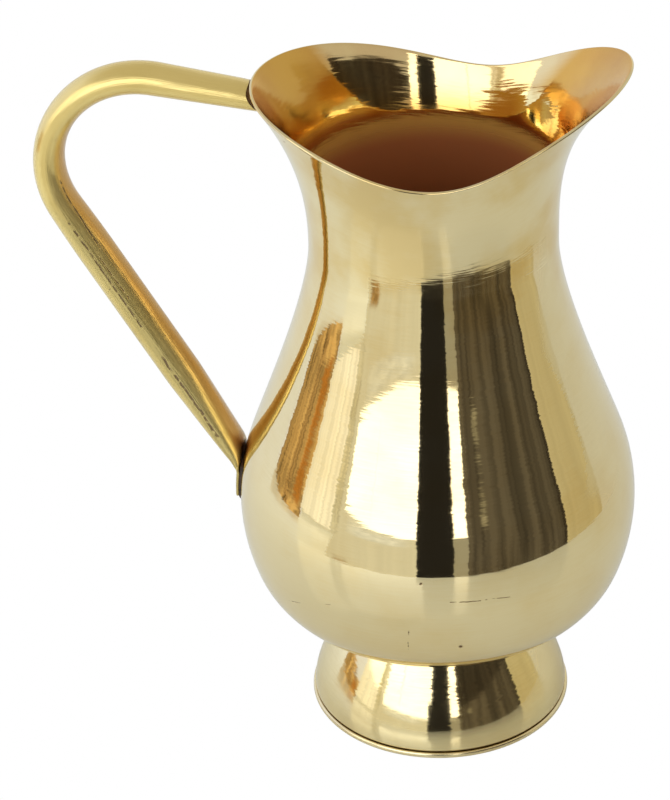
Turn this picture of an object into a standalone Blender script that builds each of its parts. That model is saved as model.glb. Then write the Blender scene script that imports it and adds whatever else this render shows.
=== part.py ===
# Brass water jug: a spun pear-shaped vessel with a pulled lip, a spun bell foot on a base ring,
# and a bent tube handle brazed to the lip and to the belly.
# Metres, +Z up. The spout points to +X, the handle to -X, and the table is at Z = 0.

import math

import bmesh
import bpy
import numpy as np
from mathutils import Vector
from mathutils.geometry import interpolate_bezier

# Sheet, tube and clearance
VESSEL_SHEET = 0.0011
FOOT_SHEET = 0.0012
TUBE_WALL = 0.0008
SEAM_GAP = 0.0003             # left between neighbouring pieces

# Heights, stacked from the table upwards
RING_HEIGHT = 0.0022          # base ring under the foot
FOOT_HEIGHT = 0.0410          # table to the underside of the vessel
THROAT_RISE = 0.1026          # widest part of the belly to the throat

# Vessel, outside: a belly arc that runs into a tighter heel arc below and a long shoulder above
BELLY_RADIUS = 0.0698
THROAT_RADIUS = 0.0426
BELLY_ARC = 0.0695
HEEL_ARC = 0.0300
HEEL_TURN = math.radians(19.7)       # below the widest part, where the two arcs meet
SHOULDER_LEAN = math.radians(18.9)   # above it, where the shoulder leaves the belly arc
SHOULDER_PULL = 0.0162        # how far the shoulder keeps that lean
THROAT_PULL = 0.0218          # how far it stays upright below the throat

# Lip, measured at five angles from the spout round to the handle: its rise above the throat
# and its reach beyond the throat. The far side mirrors the near side.
LIP_ANGLES = (0.0, 45.0, 90.0, 135.0, 180.0)
LIP_RISE = (0.0671, 0.0519, 0.0437, 0.0530, 0.0572)
LIP_REACH = (0.0245, 0.0098, 0.0060, 0.0117, 0.0183)
SPOUT_FLARE = 3.0             # a higher power keeps the neck upright for longer
HANDLE_FLARE = 2.25

# Foot and base ring
FOOT_RADIUS = 0.0457          # outside, at its lower edge
FOOT_TOP_RADIUS = 0.0285      # outside, where it meets the vessel
SKIRT_UPRIGHT = 0.0083        # how far the skirt stays upright above its edge
SKIRT_SHOULDER = (0.0120, 0.0200)   # pull of its upper curve, outwards and downwards
RING_OVERHANG = 0.0008        # base ring beyond the foot, outside
RING_WIDTH = 0.0034
RING_ROUND = 0.0009           # corner radius of the ring's section

# Handle: a tube drawn slimmer towards the lip, bent in one plane, its lower end pressed flat
LEG_RADIUS = 0.0066           # outside, along the leg
END_RADIUS = 0.0057           # outside, at the lip
BAR_LENGTH = 0.1055           # lip to the corner where bar and leg would cross
BAR_SLOPE = math.radians(8.3)
BEND_RADIUS = 0.0337
HEEL_BEND_RADIUS = 0.0150
LIP_MARGIN = 0.0015           # sheet left between the top of the bar's end and the rim
END_SQUASH = 0.78             # thickness left at the lip, as a share of the tube's
BAR_SQUASH = 0.90
BEND_SQUASH = 0.80
LEG_SETTLE = 0.0200           # run below the bend over which the tube is round again
PRESS_RUN = 0.0380            # end of the leg over which it is pressed flat
PRESS_POWER = 0.40            # a lower power leaves the flattening nearer to the belly
FLAT_POWER = 0.30             # how square the pressed tongue's edges are, 1 is an ellipse
TONGUE_THICKNESS = 0.0016
TONGUE_TOP = 0.0110           # leg meets the tongue this far above the widest part
TONGUE_LENGTH = 0.0112

# Brazing
LIP_BRAZE = 0.0045            # filler between lip and bar, at the sides of the coped end
LIP_BRAZE_LEAST = 0.0005      # the same at its top and bottom
LIP_BRAZE_SHARE = 0.95        # its section against the tube's
TAIL_BRAZE_RADIUS = 0.0008    # bead round the tongue
TAIL_BRAZE_TOP = 0.0190       # the bead starts this far above the widest part, beside the leg
FOOT_BRAZE_RADIUS = 0.0010    # bead in the corner of foot and vessel

# Fineness: faces round each piece, and levels or rings along it
VESSEL_SIDES = 60
FOOT_SIDES = 48
TUBE_SIDES = 20
BEAD_SIDES = 8
CORNER_POINTS = 3
NECK_LEVELS = 9
SHOULDER_LEVELS = 8
BELLY_LEVELS = 6
HEEL_LEVELS = 6
SKIRT_LEVELS = 11
BAR_RINGS = 4
BEND_RINGS = 13
PRESS_RINGS = 6
HEEL_RINGS = 7
TONGUE_RINGS = 3
TAIL_LEVELS = 7               # stations down each edge of the tongue
FINE_LEVELS = 200             # curves that neighbouring pieces are fitted to
HALVINGS = 40                 # steps of a search by halving

BELLY_HEIGHT = FOOT_HEIGHT + HEEL_ARC + (BELLY_ARC - HEEL_ARC) * math.sin(HEEL_TURN)
THROAT_HEIGHT = BELLY_HEIGHT + THROAT_RISE
HANDLE_SIDE = math.pi         # angle of the handle round the jug's axis, from the spout
SIDEWAYS = Vector((0.0, 1.0, 0.0))


def bezier(knot_a, pull_a, pull_b, knot_b, count):
    """Points (radius, height) of one cubic curve, both ends included."""
    corners = [Vector((r, z, 0.0)) for r, z in (knot_a, pull_a, pull_b, knot_b)]
    return [(point.x, point.y) for point in interpolate_bezier(*corners, count)]


def arc(centre, radius, start, end, count):
    """Points (radius, height) of an arc between two angles above the horizontal."""
    turns = [start + (end - start) * i / (count - 1) for i in range(count)]
    return [(centre[0] + radius * math.cos(t), centre[1] + radius * math.sin(t)) for t in turns]


def cosine_series(values):
    """Weights of the even, smooth closed curve through the values at LIP_ANGLES."""
    orders = np.arange(len(LIP_ANGLES))
    return np.linalg.solve(np.cos(np.outer(np.radians(LIP_ANGLES), orders)), np.array(values))


RISE_WEIGHTS = cosine_series(LIP_RISE)
REACH_WEIGHTS = cosine_series(LIP_REACH)


def round_the_lip(weights, angle):
    return float(np.dot(weights, np.cos(np.arange(len(weights)) * angle)))


def lip_point(angle, share):
    """(radius, height) of the neck's outside at a share of the way from throat to rim."""
    flare = (SPOUT_FLARE + HANDLE_FLARE) / 2 + (SPOUT_FLARE - HANDLE_FLARE) / 2 * math.cos(angle)
    radius = THROAT_RADIUS + round_the_lip(REACH_WEIGHTS, angle) * share ** flare
    return radius, THROAT_HEIGHT + round_the_lip(RISE_WEIGHTS, angle) * share


def body_curve(shoulder_count, belly_count, heel_count):
    """Outside of the vessel from its throat down to the edge of its flat underside."""
    belly_centre = (BELLY_RADIUS - BELLY_ARC, BELLY_HEIGHT)
    shift = BELLY_ARC - HEEL_ARC
    heel_centre = (belly_centre[0] + shift * math.cos(HEEL_TURN), FOOT_HEIGHT + HEEL_ARC)
    belly = arc(belly_centre, BELLY_ARC, SHOULDER_LEAN, -HEEL_TURN, belly_count)
    heel = arc(heel_centre, HEEL_ARC, -HEEL_TURN, -math.pi / 2, heel_count)
    knot_radius, knot_height = belly[0]
    pull_radius = knot_radius - SHOULDER_PULL * math.sin(SHOULDER_LEAN)
    pull_height = knot_height + SHOULDER_PULL * math.cos(SHOULDER_LEAN)
    throat = (THROAT_RADIUS, THROAT_HEIGHT)
    throat_pull = (THROAT_RADIUS, THROAT_HEIGHT - THROAT_PULL)
    shoulder = bezier(throat, throat_pull, (pull_radius, pull_height), belly[0], shoulder_count)
    return shoulder + belly[1:] + heel[1:]


FINE_BODY = np.array(body_curve(FINE_LEVELS, FINE_LEVELS, FINE_LEVELS))[::-1]


def vessel_radius(angle, height):
    """Outside radius of the vessel, seen from above, at an angle and a height."""
    if height >= THROAT_HEIGHT:
        share = (height - THROAT_HEIGHT) / round_the_lip(RISE_WEIGHTS, angle)
        return lip_point(angle, share)[0]
    return float(np.interp(height, FINE_BODY[:, 1], FINE_BODY[:, 0]))


def brass(name, colour, roughness):
    material = bpy.data.materials.new(name)
    material.use_nodes = True
    shader = material.node_tree.nodes["Principled BSDF"]
    shader.inputs["Base Color"].default_value = (*colour, 1.0)
    shader.inputs["Metallic"].default_value = 1.0
    shader.inputs["Roughness"].default_value = roughness
    return material


def add_part(name, data, material, sharp_angle=35.0):
    """Put a mesh or a curve in the jug's collection, smooth where it is round."""
    part = bpy.data.objects.new(name, data)
    jug.objects.link(part)
    part.parent = jug_axis
    data.materials.append(material)
    if part.type == "MESH":
        data.shade_smooth()
        data.set_sharp_from_angle(angle=math.radians(sharp_angle))
    return part


def turned_mesh(name, profile, closed, sides):
    """Spin a profile of (radius, height) points round the jug's axis."""
    outline = bpy.data.meshes.new(name + "_outline")
    edges = [(i, i + 1) for i in range(len(profile) - 1)]
    if closed:
        edges.append((len(profile) - 1, 0))
    outline.from_pydata([(r, 0.0, z) for r, z in profile], edges, [])
    blank = bpy.data.objects.new(name + "_blank", outline)
    jug.objects.link(blank)
    screw = blank.modifiers.new("Spin", "SCREW")
    screw.steps = sides
    screw.render_steps = sides
    screw.use_merge_vertices = True
    screw.merge_threshold = 0.00001
    graph = bpy.context.evaluated_depsgraph_get()
    mesh = bpy.data.meshes.new_from_object(blank.evaluated_get(graph))
    mesh.name = name
    bpy.data.objects.remove(blank)
    bpy.data.meshes.remove(outline)
    return mesh


def add_wall(part, thickness):
    """Give an open turned surface its sheet, on the inner side."""
    wall = part.modifiers.new("Sheet", "SOLIDIFY")
    wall.thickness = thickness
    wall.offset = -1.0
    wall.use_even_offset = True


def make_vessel():
    blank_rise = max(LIP_RISE)
    levels = [THROAT_HEIGHT + blank_rise * (1 - i / NECK_LEVELS) for i in range(NECK_LEVELS)]
    neck = [(THROAT_RADIUS, level) for level in levels]
    body = body_curve(SHOULDER_LEVELS, BELLY_LEVELS, HEEL_LEVELS)
    floor = [(body[-1][0] / 2, FOOT_HEIGHT), (0.0, FOOT_HEIGHT)]
    mesh = turned_mesh("vessel", neck + body + floor, False, VESSEL_SIDES)
    # The upright neck of the blank is pulled out into the lip and its spout.
    for vertex in mesh.vertices:
        share = (vertex.co.z - THROAT_HEIGHT) / blank_rise
        if share > 0:
            angle = math.atan2(vertex.co.y, vertex.co.x)
            radius, height = lip_point(angle, share)
            vertex.co = (radius * math.cos(angle), radius * math.sin(angle), height)
    vessel = add_part("vessel", mesh, brass("vessel_brass", (0.83, 0.67, 0.36), 0.12))
    add_wall(vessel, VESSEL_SHEET)


def foot_curve(count):
    """Outside of the foot, from the vessel down to its lower edge."""
    top = (FOOT_TOP_RADIUS, FOOT_HEIGHT - SEAM_GAP)
    edge = (FOOT_RADIUS, RING_HEIGHT + SEAM_GAP)
    top_pull = (top[0] + SKIRT_SHOULDER[0], top[1] - SKIRT_SHOULDER[1])
    edge_pull = (edge[0], edge[1] + SKIRT_UPRIGHT)
    return bezier(top, top_pull, edge_pull, edge, count)


def make_foot():
    mesh = turned_mesh("foot", foot_curve(SKIRT_LEVELS), False, FOOT_SIDES)
    foot = add_part("foot", mesh, brass("foot_brass", (0.83, 0.67, 0.36), 0.12))
    add_wall(foot, FOOT_SHEET)


def make_base_ring():
    outside = FOOT_RADIUS + RING_OVERHANG
    outer = outside - RING_ROUND
    inner = outside - RING_WIDTH + RING_ROUND
    upper = RING_HEIGHT - RING_ROUND
    lower = RING_ROUND
    quarter = math.pi / 2
    profile = []
    # Down the outer side, then back up the inner one, a quarter turn at each corner
    for quarters, corner in enumerate(((outer, upper), (outer, lower), (inner, lower), (inner, upper))):
        start = quarter * (1 - quarters)
        profile += arc(corner, RING_ROUND, start, start - quarter, CORNER_POINTS)
    mesh = turned_mesh("base_ring", profile, True, FOOT_SIDES)
    add_part("base_ring", mesh, brass("base_ring_brass", (0.84, 0.70, 0.41), 0.16))


def make_foot_braze():
    """A bead of filler in the corner between the foot's top edge and the vessel's underside."""
    height = FOOT_HEIGHT - SEAM_GAP - FOOT_BRAZE_RADIUS
    clear = FOOT_BRAZE_RADIUS + SEAM_GAP
    beside = [(r, z - height) for r, z in foot_curve(FINE_LEVELS) if abs(z - height) < clear]
    radius = max(r + math.sqrt(clear ** 2 - rise ** 2) for r, rise in beside)
    bpy.ops.mesh.primitive_torus_add(
        major_radius=radius,
        minor_radius=FOOT_BRAZE_RADIUS,
        major_segments=FOOT_SIDES,
        minor_segments=BEAD_SIDES,
        location=(0.0, 0.0, height),
    )
    ring = bpy.context.active_object
    mesh = ring.data
    mesh.transform(ring.matrix_world)
    bpy.data.objects.remove(ring)
    add_part("foot_braze", mesh, brass("foot_braze_filler", (0.30, 0.17, 0.07), 0.45))


def fillet(before, corner, after, radius, count):
    """Arc of a bend between two straight runs, from one tangent point to the other."""
    to_before = (before - corner).normalized()
    to_after = (after - corner).normalized()
    half = to_before.angle(to_after) / 2
    centre = corner + (to_before + to_after).normalized() * radius / math.sin(half)
    start = (corner + to_before * radius / math.tan(half) - centre).normalized()
    end = (corner + to_after * radius / math.tan(half) - centre).normalized()
    return [centre + start.slerp(end, i / (count - 1)) * radius for i in range(count)]


def on_the_belly(height):
    """Middle of the pressed tongue where it lies on the belly at a height."""
    out = vessel_radius(HANDLE_SIDE, height) + SEAM_GAP + TONGUE_THICKNESS / 2
    return Vector((-out, 0.0, height))


END_HALF = END_RADIUS * END_SQUASH    # half the thickness of the bar's end
FLAT_SHARE = TONGUE_THICKNESS / 2 / LEG_RADIUS
BAR_WAY = Vector((-math.cos(BAR_SLOPE), 0.0, math.sin(BAR_SLOPE)))
SEAT_HEIGHT = lip_point(HANDLE_SIDE, 1.0)[1] - LIP_MARGIN - END_HALF / math.cos(BAR_SLOPE)
SEAT = Vector((-vessel_radius(HANDLE_SIDE, SEAT_HEIGHT), 0.0, SEAT_HEIGHT))


def handle_path():
    """Stations (centre, radius, thickness share) of the tube in the XZ plane, lip to tongue."""
    crossing = SEAT + BAR_WAY * BAR_LENGTH / math.cos(BAR_SLOPE)
    heel = on_the_belly(BELLY_HEIGHT + TONGUE_TOP)
    tip = on_the_belly(BELLY_HEIGHT + TONGUE_TOP - TONGUE_LENGTH)
    bend = fillet(SEAT, crossing, heel, BEND_RADIUS, BEND_RINGS)
    press = fillet(crossing, heel, tip, HEEL_BEND_RADIUS, HEEL_RINGS)
    middle_radius = (END_RADIUS + LEG_RADIUS) / 2
    path = []
    for step in range(BAR_RINGS):
        share = step / BAR_RINGS
        radius = END_RADIUS + (middle_radius - END_RADIUS) * share
        squash = END_SQUASH + (BAR_SQUASH - END_SQUASH) * share
        path.append((SEAT.lerp(bend[0], share), radius, squash))
    for step, centre in enumerate(bend):
        share = step / (BEND_RINGS - 1)
        radius = middle_radius + (LEG_RADIUS - middle_radius) * share
        squash = BAR_SQUASH + (BEND_SQUASH - BAR_SQUASH) * math.sin(math.pi * share)
        path.append((centre, radius, squash))
    leg_way = (heel - bend[-1]).normalized()
    path.append((bend[-1] + leg_way * LEG_SETTLE, LEG_RADIUS, 1.0))
    press_start = heel - leg_way * PRESS_RUN
    leg_end = [press_start.lerp(press[0], step / PRESS_RINGS) for step in range(PRESS_RINGS)]
    for centre in leg_end + press:
        to_heel = max((heel - centre).dot(leg_way), 0.0) / PRESS_RUN
        squash = FLAT_SHARE + (1 - FLAT_SHARE) * to_heel ** PRESS_POWER
        centre.x = min(centre.x, on_the_belly(centre.z).x)
        path.append((centre, LEG_RADIUS, squash))
    for step in range(TONGUE_RINGS):
        share = (step + 1) / TONGUE_RINGS
        height = press[-1].z + (tip.z - press[-1].z) * share
        path.append((on_the_belly(height), LEG_RADIUS, FLAT_SHARE))
    return path


def pressed_section(radius, half_thickness, wall):
    """Offsets (sideways, in plane) of a tube pressed to a thickness, its girth kept."""
    half_width = half_thickness + math.pi / 2 * (radius - half_thickness) - wall
    # A round tube has sine-shaped sides, and a flat one is nearly straight between its edges.
    power = half_thickness / radius * (1 - FLAT_POWER) + FLAT_POWER
    offsets = []
    for step in range(TUBE_SIDES):
        turn = 2 * math.pi * (step + 0.5) / TUBE_SIDES
        level = math.copysign(abs(math.sin(turn)) ** power, math.sin(turn))
        offsets.append((half_width * math.cos(turn), (half_thickness - wall) * level))
    return offsets


def lip_seat(side, level):
    """Point a seam's gap outside the lip, met along the bar at an offset from its middle."""
    start = SEAT + BAR_WAY * 2 * END_RADIUS + SIDEWAYS * side + SIDEWAYS.cross(BAR_WAY) * level
    near = 0.0
    far = 4 * END_RADIUS
    for _ in range(HALVINGS):
        middle = (near + far) / 2
        spot = start - BAR_WAY * middle
        outside = math.hypot(spot.x, spot.y) - vessel_radius(math.atan2(spot.y, spot.x), spot.z)
        if outside > SEAM_GAP:
            near = middle
        else:
            far = middle
    return start - BAR_WAY * near


def braze_depth(side):
    """Filler between lip and bar: the bar's end is coped, so its sides stand further off."""
    half_width = max(across for across, level in pressed_section(END_RADIUS, END_HALF, 0.0))
    return LIP_BRAZE_LEAST + (LIP_BRAZE - LIP_BRAZE_LEAST) * (side / half_width) ** 2


def tube_rings(wall):
    """Rings of the handle's outside, or of its bore where a wall is given."""
    path = handle_path()
    offsets = pressed_section(END_RADIUS, END_HALF, wall)
    coped_end = [lip_seat(*spot) + BAR_WAY * (braze_depth(spot[0]) + SEAM_GAP) for spot in offsets]
    rings = [coped_end]
    for index in range(1, len(path)):
        centre, radius, squash = path[index]
        ahead = path[min(index + 1, len(path) - 1)][0]
        along = (ahead - path[index - 1][0]).normalized()
        across = SIDEWAYS.cross(along)
        half = radius * squash
        pressed = 0.0
        # The tube is pressed flat as far as the belly leaves no room for its full section.
        if centre.z < THROAT_HEIGHT:
            room = (-centre.x - vessel_radius(HANDLE_SIDE, centre.z)) * abs(along.z) - SEAM_GAP
            half = max(min(half, room), TONGUE_THICKNESS / 2)
            pressed = 1 - half / radius
        if half < wall + TUBE_WALL / 2:
            break
        ring = []
        for side, level in pressed_section(radius, half, wall):
            wrap = pressed * (BELLY_RADIUS - math.sqrt(BELLY_RADIUS ** 2 - side ** 2))
            ring.append(centre + across * level + SIDEWAYS * side + Vector((wrap, 0.0, 0.0)))
        rings.append(ring)
    return rings


def add_ring(mesh, ring):
    return [mesh.verts.new(point) for point in ring]


def bridge(mesh, ring_a, ring_b):
    for i in range(len(ring_a)):
        j = (i + 1) % len(ring_a)
        mesh.faces.new((ring_a[i], ring_a[j], ring_b[j], ring_b[i]))


def fan(mesh, ring, centre):
    middle = mesh.verts.new(centre)
    for i in range(len(ring)):
        mesh.faces.new((ring[i], ring[(i + 1) % len(ring)], middle))


def finish_mesh(name, mesh):
    bmesh.ops.recalc_face_normals(mesh, faces=mesh.faces)
    data = bpy.data.meshes.new(name)
    mesh.to_mesh(data)
    mesh.free()
    return data


def middle_of(ring):
    return sum((Vector(point) for point in ring), Vector()) / len(ring)


def make_handle():
    outside = tube_rings(0.0)
    bore = tube_rings(TUBE_WALL)
    mesh = bmesh.new()
    outer = [add_ring(mesh, ring) for ring in outside]
    inner = [add_ring(mesh, ring) for ring in bore]
    for rings in (outer, inner):
        for ring_a, ring_b in zip(rings, rings[1:]):
            bridge(mesh, ring_a, ring_b)
    bridge(mesh, outer[0], inner[0])
    fan(mesh, outer[-1], middle_of(outside[-1]))
    fan(mesh, inner[-1], middle_of(bore[-1]))
    data = finish_mesh("handle", mesh)
    add_part("handle", data, brass("handle_brass", (0.80, 0.62, 0.31), 0.16), 50.0)
    return min(point.x for ring in outside for point in ring)


def make_lip_braze():
    """Filler between the bar's coped end and the lip, shaped to both."""
    section = pressed_section(END_RADIUS, END_HALF, 0.0)
    mesh = bmesh.new()
    lip_rings = []
    bar_rings = []
    for share in (LIP_BRAZE_SHARE, LIP_BRAZE_SHARE / 2):
        spots = [(side * share, level * share) for side, level in section]
        lip_rings.append(add_ring(mesh, [lip_seat(*spot) for spot in spots]))
        bar_side = [lip_seat(*spot) + BAR_WAY * braze_depth(spot[0]) for spot in spots]
        bar_rings.append(add_ring(mesh, bar_side))
    bridge(mesh, lip_rings[0], bar_rings[0])
    bridge(mesh, *lip_rings)
    bridge(mesh, *bar_rings)
    middle = lip_seat(0.0, 0.0)
    fan(mesh, lip_rings[1], middle)
    fan(mesh, bar_rings[1], middle + BAR_WAY * LIP_BRAZE_LEAST)
    data = finish_mesh("lip_braze", mesh)
    add_part("lip_braze", data, brass("lip_braze_filler", (0.22, 0.10, 0.05), 0.5))


def make_tail_braze():
    """A bead of filler down one edge of the leg and its tongue, round the tip and up the other."""
    rings = [ring for ring in tube_rings(0.0) if middle_of(ring).z < THROAT_HEIGHT]
    rings.reverse()
    levels = [middle_of(ring).z for ring in rings]
    half_widths = [max(point.y for point in ring) for ring in rings]
    clear = SEAM_GAP + TAIL_BRAZE_RADIUS
    below = levels[0] - clear
    top = BELLY_HEIGHT + TAIL_BRAZE_TOP
    run_down = []
    for step in range(TAIL_LEVELS):
        height = top + (below - top) * step / (TAIL_LEVELS - 1)
        run_down.append((-float(np.interp(height, levels, half_widths)) - clear, height))
    beside = half_widths[0] + clear
    across = [(beside * share, below) for share in (-0.5, 0.0, 0.5)]
    run_up = [(-side, height) for side, height in reversed(run_down)]
    route = bpy.data.curves.new("tail_braze", "CURVE")
    route.dimensions = "3D"
    route.bevel_depth = TAIL_BRAZE_RADIUS
    route.bevel_resolution = 1
    route.use_fill_caps = True
    spline = route.splines.new("POLY")
    stations = run_down + across + run_up
    spline.points.add(len(stations) - 1)
    for spot, (side, height) in zip(spline.points, stations):
        out = vessel_radius(HANDLE_SIDE, height) + SEAM_GAP + TAIL_BRAZE_RADIUS
        turn = side / BELLY_RADIUS
        spot.co = (-out * math.cos(turn), out * math.sin(turn), height, 1.0)
    add_part("tail_braze", route, brass("tail_braze_filler", (0.06, 0.04, 0.03), 0.5))


for old in list(bpy.data.objects):
    bpy.data.objects.remove(old)
jug = bpy.data.collections.new("brass_jug")
bpy.context.scene.collection.children.link(jug)
jug_axis = bpy.data.objects.new("jug_axis", None)
jug.objects.link(jug_axis)

make_vessel()
make_foot()
make_base_ring()
make_foot_braze()
handle_edge = make_handle()
make_lip_braze()
make_tail_braze()

# The frame's origin is under the middle of the whole jug, so its axis stands off towards the spout.
spout_edge = max(BELLY_RADIUS, lip_point(0.0, 1.0)[0])
jug_axis.location = (-(handle_edge + spout_edge) / 2, 0.0, 0.0)
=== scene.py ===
import math

import bmesh
import bpy
import numpy as np
from mathutils import Matrix, Vector
from mathutils.geometry import interpolate_bezier


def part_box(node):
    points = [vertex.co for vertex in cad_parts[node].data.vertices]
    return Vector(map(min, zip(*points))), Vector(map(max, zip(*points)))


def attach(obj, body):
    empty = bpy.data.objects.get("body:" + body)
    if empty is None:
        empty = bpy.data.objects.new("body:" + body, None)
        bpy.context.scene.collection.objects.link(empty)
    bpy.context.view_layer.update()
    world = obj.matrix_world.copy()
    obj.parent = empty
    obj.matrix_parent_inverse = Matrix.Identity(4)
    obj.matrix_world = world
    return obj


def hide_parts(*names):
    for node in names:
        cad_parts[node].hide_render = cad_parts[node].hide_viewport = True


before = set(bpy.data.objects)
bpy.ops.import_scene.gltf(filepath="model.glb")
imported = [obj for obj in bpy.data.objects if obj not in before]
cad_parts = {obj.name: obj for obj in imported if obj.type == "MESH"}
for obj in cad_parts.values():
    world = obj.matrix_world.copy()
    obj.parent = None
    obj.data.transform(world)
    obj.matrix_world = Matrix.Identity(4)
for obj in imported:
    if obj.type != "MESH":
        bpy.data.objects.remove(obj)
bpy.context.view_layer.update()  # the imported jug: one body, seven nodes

# Metres. The spout points to +X, the handle to -X, the floor is at Z = 0.
ringLow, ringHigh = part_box("base_ring")
axisX = (ringLow[0] + ringHigh[0]) / 2  # the jug's own axis stands here
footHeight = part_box("vessel")[0][2]  # floor to the vessel's underside
seamGap = 0.0003  # what the frame leaves between neighbours
mergeGap = 0.000005
finePoints = 200  # for curves that are only measured
sharpEdge = 60  # degrees, where the shading breaks
sideways = Vector((0, 1, 0))
handleSide = math.pi  # the handle's angle round the axis, from the spout


# Curves that the pieces are drawn from

def between(start, end, share):
    return start + (end - start) * share


def bezierRun(start, startPull, endPull, end, count):
    corners = [Vector((r, z, 0)) for r, z in (start, startPull, endPull, end)]
    return [(spot.x, spot.y) for spot in interpolate_bezier(*corners, count)]


def arcRun(centre, radius, fromTurn, toTurn, count):
    turns = [between(fromTurn, toTurn, i / (count - 1)) for i in range(count)]
    return [(centre[0] + radius * math.cos(t), centre[1] + radius * math.sin(t)) for t in turns]


vesselSize = dict(
    sheet=0.0011,
    bellyRadius=0.0698,
    throatRadius=0.0426,
    throatRise=0.1026,  # widest part to the throat
    bellyArc=0.0695,
    heelArc=0.0300,
    heelTurn=math.radians(19.7),  # where the two arcs meet, below the widest part
    shoulderLean=math.radians(18.9),  # where the shoulder leaves the belly arc
    shoulderPull=0.0162,
    throatPull=0.0218,
    lipAngles=(0, 45, 90, 135, 180),  # degrees, from the spout round to the handle
    lipRise=(0.0671, 0.0519, 0.0437, 0.0530, 0.0572),
    lipReach=(0.0245, 0.0098, 0.0060, 0.0117, 0.0183),
    spoutFlare=3.0,  # a higher power keeps the neck upright for longer
    handleFlare=2.25,
    rimRound=0.0004,
    sides=192,
    neckLevels=46,
    shoulderLevels=36,
    bellyLevels=22,
    heelLevels=22,
    floorLevels=5,
)
arcShift = vesselSize["bellyArc"] - vesselSize["heelArc"]
bellyHeight = footHeight + vesselSize["heelArc"] + arcShift * math.sin(vesselSize["heelTurn"])
throatHeight = bellyHeight + vesselSize["throatRise"]


def lipWeights(values):
    orders = np.arange(len(values))
    turns = np.radians(vesselSize["lipAngles"])
    return np.linalg.solve(np.cos(np.outer(turns, orders)), np.array(values))


riseWeights = lipWeights(vesselSize["lipRise"])
reachWeights = lipWeights(vesselSize["lipReach"])


def roundLip(weights, angle):
    return float(np.dot(weights, np.cos(np.arange(len(weights)) * angle)))


def lipPoint(angle, share):
    size = vesselSize
    meanFlare = (size["spoutFlare"] + size["handleFlare"]) / 2
    flare = between(meanFlare, size["spoutFlare"], math.cos(angle))
    radius = size["throatRadius"] + roundLip(reachWeights, angle) * share ** flare
    return radius, throatHeight + roundLip(riseWeights, angle) * share


def bodyProfile(shoulderLevels, bellyLevels, heelLevels):
    size = vesselSize
    lean = size["shoulderLean"]
    bellyCentre = (size["bellyRadius"] - size["bellyArc"], bellyHeight)
    heelCentre = (bellyCentre[0] + arcShift * math.cos(size["heelTurn"]), footHeight + size["heelArc"])
    belly = arcRun(bellyCentre, size["bellyArc"], lean, -size["heelTurn"], bellyLevels)
    heel = arcRun(heelCentre, size["heelArc"], -size["heelTurn"], -math.pi / 2, heelLevels)
    leanPull = (belly[0][0] - size["shoulderPull"] * math.sin(lean),
                belly[0][1] + size["shoulderPull"] * math.cos(lean))
    throat = (size["throatRadius"], throatHeight)
    throatPull = (size["throatRadius"], throatHeight - size["throatPull"])
    shoulder = bezierRun(throat, throatPull, leanPull, belly[0], shoulderLevels)
    return shoulder + belly[1:] + heel[1:]


fineBody = np.array(bodyProfile(finePoints, finePoints, finePoints))[::-1]


def vesselRadius(angle, height):
    if height >= throatHeight:
        return lipPoint(angle, (height - throatHeight) / roundLip(riseWeights, angle))[0]
    return float(np.interp(height, fineBody[:, 1], fineBody[:, 0]))


# Modelling steps that several pieces share

def selectOnly(piece):
    bpy.ops.object.select_all(action="DESELECT")
    if piece:
        piece.select_set(True)
    bpy.context.view_layer.objects.active = piece


def namePiece(name):
    piece = bpy.context.object
    piece.name = name
    piece.data.name = name
    return piece


def closeEdit():
    bpy.ops.mesh.select_all(action="SELECT")
    bpy.ops.mesh.normals_make_consistent(inside=False)
    bpy.ops.object.mode_set(mode="OBJECT")


def spinProfile(name, profile, sides):
    selectOnly(None)
    bpy.ops.mesh.primitive_plane_add()
    piece = namePiece(name)
    bpy.ops.object.mode_set(mode="EDIT")
    bpy.ops.mesh.merge(type="CENTER")  # one point to draw the profile with
    bpy.ops.transform.translate(value=(axisX + profile[0][0], 0, profile[0][1]))
    for here, there in zip(profile, profile[1:]):
        step = (there[0] - here[0], 0, there[1] - here[1])
        bpy.ops.mesh.extrude_vertices_move(TRANSFORM_OT_translate={"value": step})
    edit = bmesh.from_edit_mesh(piece.data)
    edit.verts.ensure_lookup_table()
    run = edit.verts.layers.float.new("run")  # way along the profile, for the turning lines
    for i in range(1, len(edit.verts)):
        edit.verts[i][run] = edit.verts[i - 1][run] + (edit.verts[i].co - edit.verts[i - 1].co).length
    bmesh.update_edit_mesh(piece.data)
    bpy.ops.mesh.select_all(action="SELECT")
    bpy.ops.mesh.spin(steps=sides, angle=2 * math.pi, center=(axisX, 0, 0), axis=(0, 0, 1))
    bpy.ops.mesh.select_all(action="SELECT")
    bpy.ops.mesh.remove_doubles(threshold=mergeGap)
    closeEdit()
    return piece


edgeShape = dict(segments=3, fromAngle=math.radians(50))


def addWall(piece, sheet, edgeRound, insideSlot):
    selectOnly(piece)
    wall = piece.modifiers.new("sheet", "SOLIDIFY")
    wall.thickness = sheet
    wall.offset = -1
    wall.use_even_offset = True
    wall.material_offset = insideSlot
    bpy.ops.object.modifier_apply(modifier=wall.name)
    soften = piece.modifiers.new("edgeRound", "BEVEL")
    soften.width = edgeRound
    soften.segments = edgeShape["segments"]
    soften.limit_method = "ANGLE"
    soften.angle_limit = edgeShape["fromAngle"]
    bpy.ops.object.modifier_apply(modifier=soften.name)


def storeTurned(piece, turns):
    marks = piece.data.attributes
    turned = []
    for turn, run in zip(turns, marks["run"].data):
        turned += [math.cos(turn), math.sin(turn), run.value]
    marks.new("turned", "FLOAT_VECTOR", "POINT").data.foreach_set("vector", turned)
    for name in ("run", "spoke"):
        if name in marks:
            marks.remove(marks[name])


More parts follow.
